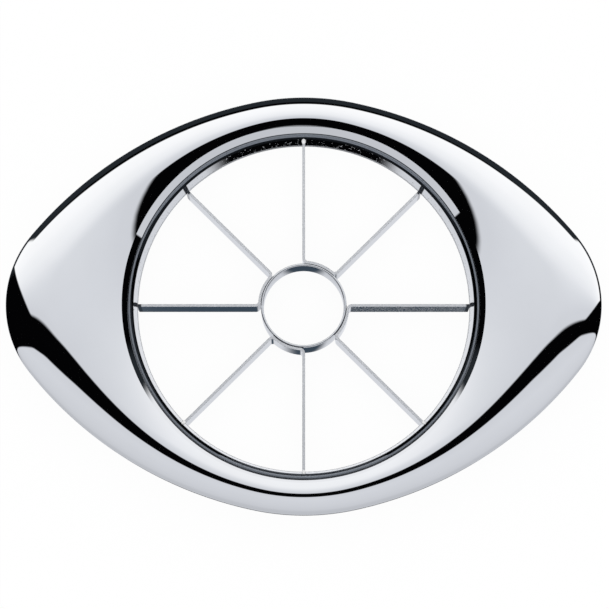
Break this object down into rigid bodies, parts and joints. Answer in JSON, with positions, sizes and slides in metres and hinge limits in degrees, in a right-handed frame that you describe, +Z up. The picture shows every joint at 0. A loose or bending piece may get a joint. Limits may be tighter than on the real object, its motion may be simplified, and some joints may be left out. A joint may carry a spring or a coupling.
{
  "type": "apple slicer",
  "caption": "Flat lens-shaped hand press with a round cutter hole, radial blades and a core ring, pushed down over a fruit.",
  "frame": {"origin": "on the axis of the cutter hole, level with the cutting edges", "axes": "+Z up along the hole's axis, +X along the two handles, +Y across them"},
  "size_m": [0.18, 0.1286, 0.0166],
  "materials": {
    "polished_steel": "mirror polished stainless steel",
    "satin_steel": "rolled and lightly polished stainless strip"
  },
  "bodies": {
    "root": {"frame_upper_shell": "polished_steel", "frame_lower_shell": "polished_steel", "cutter_sleeve": "satin_steel", "core_ring": "satin_steel", "blade_strip_1": "satin_steel", "blade_strip_2": "satin_steel", "blade_strip_3": "satin_steel", "blade_strip_4": "satin_steel"}
  },
  "joints": []
}
